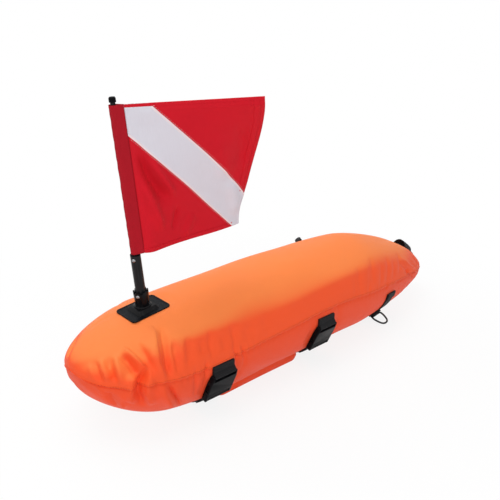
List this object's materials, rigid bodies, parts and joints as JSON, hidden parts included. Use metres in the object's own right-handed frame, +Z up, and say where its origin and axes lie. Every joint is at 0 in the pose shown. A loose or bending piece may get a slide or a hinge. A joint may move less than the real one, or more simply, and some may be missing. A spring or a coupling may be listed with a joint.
{
  "type": "dive flag float",
  "caption": "Torpedo-shaped inflatable surface float with belly straps, side-release buckles, a D-ring and a mast that carries a diagonally striped flag.",
  "frame": {"origin": "on the floor under the float's middle, on the flat underside of the middle strap", "axes": "+X along the float from the mast's end to the far tip, +Z up, the buckles are on the -Y side"},
  "size_m": [1.06, 0.288, 0.5813],
  "materials": {
    "orange_nylon": "coated nylon, soft sheen",
    "belly_nylon": "coated nylon, soft sheen",
    "bladder_film": "translucent film, satin",
    "lead": "dull cast metal",
    "black_rubber": "matt moulded rubber",
    "woven_tube": "woven fibre under clear resin",
    "bright_steel": "bright",
    "black_steel": "black coated wire",
    "red_cloth": "light nylon",
    "white_cloth": "light nylon",
    "black_webbing": "ribbed webbing",
    "black_plastic": "fine moulded grain"
  },
  "bodies": {
    "float": {"backing_plate": "black_plastic", "ballast_weight": "lead", "bladder": "bladder_film", "cover_lower": "belly_nylon", "cover_upper": "orange_nylon", "front_buckle_female": "black_plastic", "front_buckle_male": "black_plastic", "front_strap": "black_webbing", "front_tab": "black_webbing", "grab_loop": "black_webbing", "lower_button_spring": "bright_steel", "lower_tube": "woven_tube", "mast_ferrule": "black_plastic", "mast_socket": "black_plastic", "middle_buckle_female": "black_plastic", "middle_buckle_male": "black_plastic", "middle_strap": "black_webbing", "middle_tab": "black_webbing", "pocket_panel": "belly_nylon", "rear_strap": "black_webbing", "rear_tab": "black_webbing", "ring_loop": "black_webbing", "rod_tip": "black_plastic", "socket_patch": "black_rubber", "tube_plug": "black_plastic", "upper_button_spring": "bright_steel", "upper_rod": "woven_tube", "valve_body": "black_plastic", "valve_flange": "black_rubber", "zip_tape_lower": "black_webbing", "zip_tape_upper": "black_webbing", "zip_teeth_lower": "black_plastic", "zip_teeth_upper": "black_plastic"},
    "flag": {"flag_sleeve": "red_cloth", "flag_field_upper": "red_cloth", "flag_stripe": "white_cloth", "flag_field_lower": "red_cloth", "top_batten": "black_plastic"},
    "lower_snap": {"lower_button": "bright_steel"},
    "upper_snap": {"upper_button": "bright_steel"},
    "front_arm_near": {"front_buckle_arm_a": "black_plastic"},
    "front_arm_far": {"front_buckle_arm_b": "black_plastic"},
    "middle_arm_near": {"middle_buckle_arm_a": "black_plastic"},
    "middle_arm_far": {"middle_buckle_arm_b": "black_plastic"},
    "ring": {"d_ring": "black_steel"},
    "lock_ring": {"valve_lock_ring": "black_plastic"},
    "mouthpiece": {"valve_mouthpiece": "black_plastic"},
    "dust_cap": {"valve_cap": "black_rubber"},
    "slider": {"zip_slider": "bright_steel"},
    "pull_tab": {"zip_pull": "bright_steel"}
  },
  "joints": [
    {"name": "flag_swing", "type": "hinge", "parent": "float", "child": "flag", "pos_m": [-0.38392, 0, 0.20036], "axis": [-0.1253, 0, 0.9921], "continuous": true},
    {"name": "lower_button_press", "type": "slide", "parent": "float", "child": "lower_snap", "axis": [0.8592, 0.5, 0.1085], "range_m": [0, 0.0056], "stiffness_N_per_m": 1500, "springref_m": -0.001},
    {"name": "upper_button_press", "type": "slide", "parent": "float", "child": "upper_snap", "axis": [0.8592, 0.5, 0.1085], "range_m": [0, 0.003], "stiffness_N_per_m": 1500, "springref_m": -0.001},
    {"name": "front_arm_near_squeeze", "type": "hinge", "parent": "float", "child": "front_arm_near", "pos_m": [-0.3192, -0.10898, 0.05396], "axis": [0, 0.9305, 0.3664], "range_deg": [0, 15], "stiffness_Nm_per_rad": 0.8, "springref_deg": -1.15},
    {"name": "front_arm_far_squeeze", "type": "hinge", "parent": "float", "child": "front_arm_far", "pos_m": [-0.2748, -0.10898, 0.05396], "axis": [0, -0.9305, -0.3664], "range_deg": [0, 15], "stiffness_Nm_per_rad": 0.8, "springref_deg": -1.15},
    {"name": "middle_arm_near_squeeze", "type": "hinge", "parent": "float", "child": "middle_arm_near", "pos_m": [-0.0312, -0.10898, 0.05396], "axis": [0, 0.9305, 0.3664], "range_deg": [0, 15], "stiffness_Nm_per_rad": 0.8, "springref_deg": -1.15},
    {"name": "middle_arm_far_squeeze", "type": "hinge", "parent": "float", "child": "middle_arm_far", "pos_m": [0.0132, -0.10898, 0.05396], "axis": [0, -0.9305, -0.3664], "range_deg": [0, 15], "stiffness_Nm_per_rad": 0.8, "springref_deg": -1.15},
    {"name": "ring_swing", "type": "hinge", "parent": "float", "child": "ring", "pos_m": [0.25572, -0.07096, 0.0135], "axis": [0.9958, 0.0543, 0.0739], "range_deg": [-40, 100]},
    {"name": "lock_ring_turn", "type": "hinge", "parent": "float", "child": "lock_ring", "pos_m": [0.15984, 0.09821, 0.16343], "axis": [0.0548, 0.8397, 0.5404], "range_deg": [-90, 0]},
    {"name": "mouthpiece_press", "type": "slide", "parent": "float", "child": "mouthpiece", "axis": [-0.0548, -0.8397, -0.5404], "range_m": [0, 0.005], "stiffness_N_per_m": 600, "springref_m": -0.001},
    {"name": "dust_cap_pull", "type": "slide", "parent": "mouthpiece", "child": "dust_cap", "axis": [0.0548, 0.8397, 0.5404], "range_m": [0, 0.012]},
    {"name": "slider_run", "type": "slide", "parent": "float", "child": "slider", "axis": [-1, 0, 0], "range_m": [0, 0.3]},
    {"name": "pull_tab_swing", "type": "hinge", "parent": "slider", "child": "pull_tab", "pos_m": [0.0705, 0.12466, 0.08973], "axis": [0, 0.1317, 0.9913], "range_deg": [0, 170]}
  ]
}
